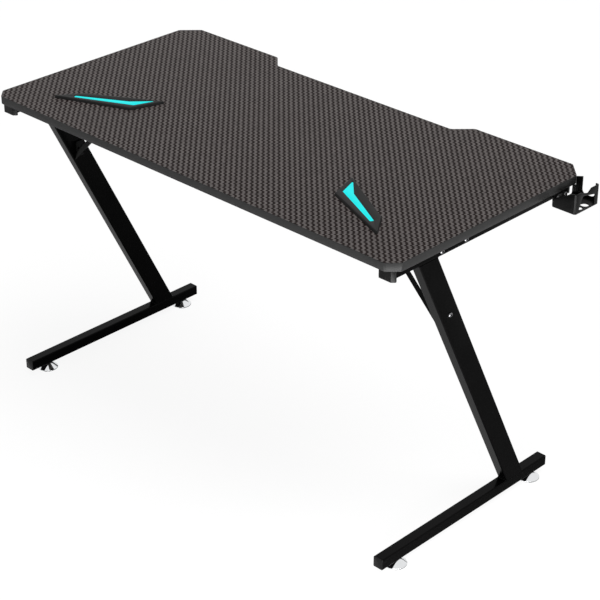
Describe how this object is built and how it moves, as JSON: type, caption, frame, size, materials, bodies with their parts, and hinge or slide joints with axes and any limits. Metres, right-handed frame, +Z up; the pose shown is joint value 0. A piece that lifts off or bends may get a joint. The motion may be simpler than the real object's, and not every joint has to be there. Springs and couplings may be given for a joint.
{
  "type": "gaming desk",
  "caption": "Gaming desk with a notched carbon-look top, glowing cyan light inserts, Z-shaped tube legs on chrome levelling feet, and a cup holder at the right edge.",
  "frame": {"origin": "on the floor, under the middle of the whole desk with its cup holder", "axes": "+X to the user's right along the desk, +Y from the user towards the rear edge, +Z up"},
  "size_m": [1.256, 0.6, 0.7355],
  "materials": {
    "board_core": "raw particle board",
    "carbon_laminate": "satin laminate with a twill weave look",
    "edge_band": "plain satin edge band",
    "bezel_plastic": "fine-textured moulded plastic",
    "cyan_diffuser": "translucent lit lens",
    "inner_plastic": "moulded plastic",
    "circuit_board": "white solder mask",
    "light_chip": "phosphor-filled package",
    "cap_plastic": "moulded plastic",
    "black_powder_coat": "satin powder coat",
    "chrome_plate": "polished chrome plate",
    "pad_rubber": "moulded rubber",
    "cup_plastic": "satin moulded plastic",
    "black_bolt_steel": "blackened steel",
    "zinc_steel": "zinc-plated steel"
  },
  "bodies": {
    "frame": {"brace_left": "black_powder_coat", "brace_leg_bolts": "black_bolt_steel", "brace_leg_nuts": "zinc_steel", "brace_right": "black_powder_coat", "brace_rivet_nuts": "zinc_steel", "brace_top_bolts": "black_bolt_steel", "cup_holder": "cup_plastic", "cup_holder_screws": "black_bolt_steel", "desktop_board": "board_core", "desktop_screws": "zinc_steel", "edge_band": "edge_band", "foot_nuts": "zinc_steel", "foot_rail_cap_front_left": "cap_plastic", "foot_rail_cap_front_right": "cap_plastic", "foot_rail_cap_rear_left": "cap_plastic", "foot_rail_cap_rear_right": "cap_plastic", "foot_rail_left": "black_powder_coat", "foot_rail_right": "black_powder_coat", "leg_left": "black_powder_coat", "leg_right": "black_powder_coat", "light_bezel_left": "bezel_plastic", "light_bezel_right": "bezel_plastic", "light_chips_left": "light_chip", "light_chips_right": "light_chip", "light_circuit_left": "circuit_board", "light_circuit_right": "circuit_board", "light_diffuser_left": "cyan_diffuser", "light_diffuser_right": "cyan_diffuser", "light_inlet_left": "inner_plastic", "light_inlet_right": "inner_plastic", "light_screws": "zinc_steel", "light_tray_left": "inner_plastic", "light_tray_right": "inner_plastic", "stretcher": "black_powder_coat", "stretcher_bolts": "black_bolt_steel", "stretcher_nuts": "zinc_steel", "stretcher_plate_left": "black_powder_coat", "stretcher_plate_right": "black_powder_coat", "top_laminate": "carbon_laminate", "top_rail_cap_front_left": "cap_plastic", "top_rail_cap_front_right": "cap_plastic", "top_rail_cap_rear_left": "cap_plastic", "top_rail_cap_rear_right": "cap_plastic", "top_rail_left": "black_powder_coat", "top_rail_right": "black_powder_coat"},
    "pad_front_left": {"foot_pad_front_left": "pad_rubber"},
    "foot_front_left": {"foot_cone_front_left": "chrome_plate", "foot_stud_front_left": "zinc_steel"},
    "pad_front_right": {"foot_pad_front_right": "pad_rubber"},
    "foot_front_right": {"foot_cone_front_right": "chrome_plate", "foot_stud_front_right": "zinc_steel"},
    "pad_rear_left": {"foot_pad_rear_left": "pad_rubber"},
    "foot_rear_left": {"foot_cone_rear_left": "chrome_plate", "foot_stud_rear_left": "zinc_steel"},
    "pad_rear_right": {"foot_pad_rear_right": "pad_rubber"},
    "foot_rear_right": {"foot_cone_rear_right": "chrome_plate", "foot_stud_rear_right": "zinc_steel"}
  },
  "joints": [
    {"name": "pad_travel_front_left", "type": "slide", "parent": "frame", "child": "pad_front_left", "axis": [0, 0, -1], "range_m": [0, 0.01]},
    {"name": "foot_turn_front_left", "type": "hinge", "parent": "pad_front_left", "child": "foot_front_left", "pos_m": [-0.5965, -0.2335, 0], "axis": [0, 0, -1], "range_deg": [0, 2881]},
    {"name": "pad_travel_front_right", "type": "slide", "parent": "frame", "child": "pad_front_right", "axis": [0, 0, -1], "range_m": [0, 0.01]},
    {"name": "foot_turn_front_right", "type": "hinge", "parent": "pad_front_right", "child": "foot_front_right", "pos_m": [0.5405, -0.2335, 0], "axis": [0, 0, -1], "range_deg": [0, 2881]},
    {"name": "pad_travel_rear_left", "type": "slide", "parent": "frame", "child": "pad_rear_left", "axis": [0, 0, -1], "range_m": [0, 0.01]},
    {"name": "foot_turn_rear_left", "type": "hinge", "parent": "pad_rear_left", "child": "foot_rear_left", "pos_m": [-0.5965, 0.2095, 0], "axis": [0, 0, -1], "range_deg": [0, 2881]},
    {"name": "pad_travel_rear_right", "type": "slide", "parent": "frame", "child": "pad_rear_right", "axis": [0, 0, -1], "range_m": [0, 0.01]},
    {"name": "foot_turn_rear_right", "type": "hinge", "parent": "pad_rear_right", "child": "foot_rear_right", "pos_m": [0.5405, 0.2095, 0], "axis": [0, 0, -1], "range_deg": [0, 2881]}
  ],
  "couplings": [
    {"joint": "foot_turn_front_left", "follows": "pad_travel_front_left", "rad_per_m": 5026.5},
    {"joint": "foot_turn_front_right", "follows": "pad_travel_front_right", "rad_per_m": 5026.5},
    {"joint": "foot_turn_rear_left", "follows": "pad_travel_rear_left", "rad_per_m": 5026.5},
    {"joint": "foot_turn_rear_right", "follows": "pad_travel_rear_right", "rad_per_m": 5026.5}
  ]
}
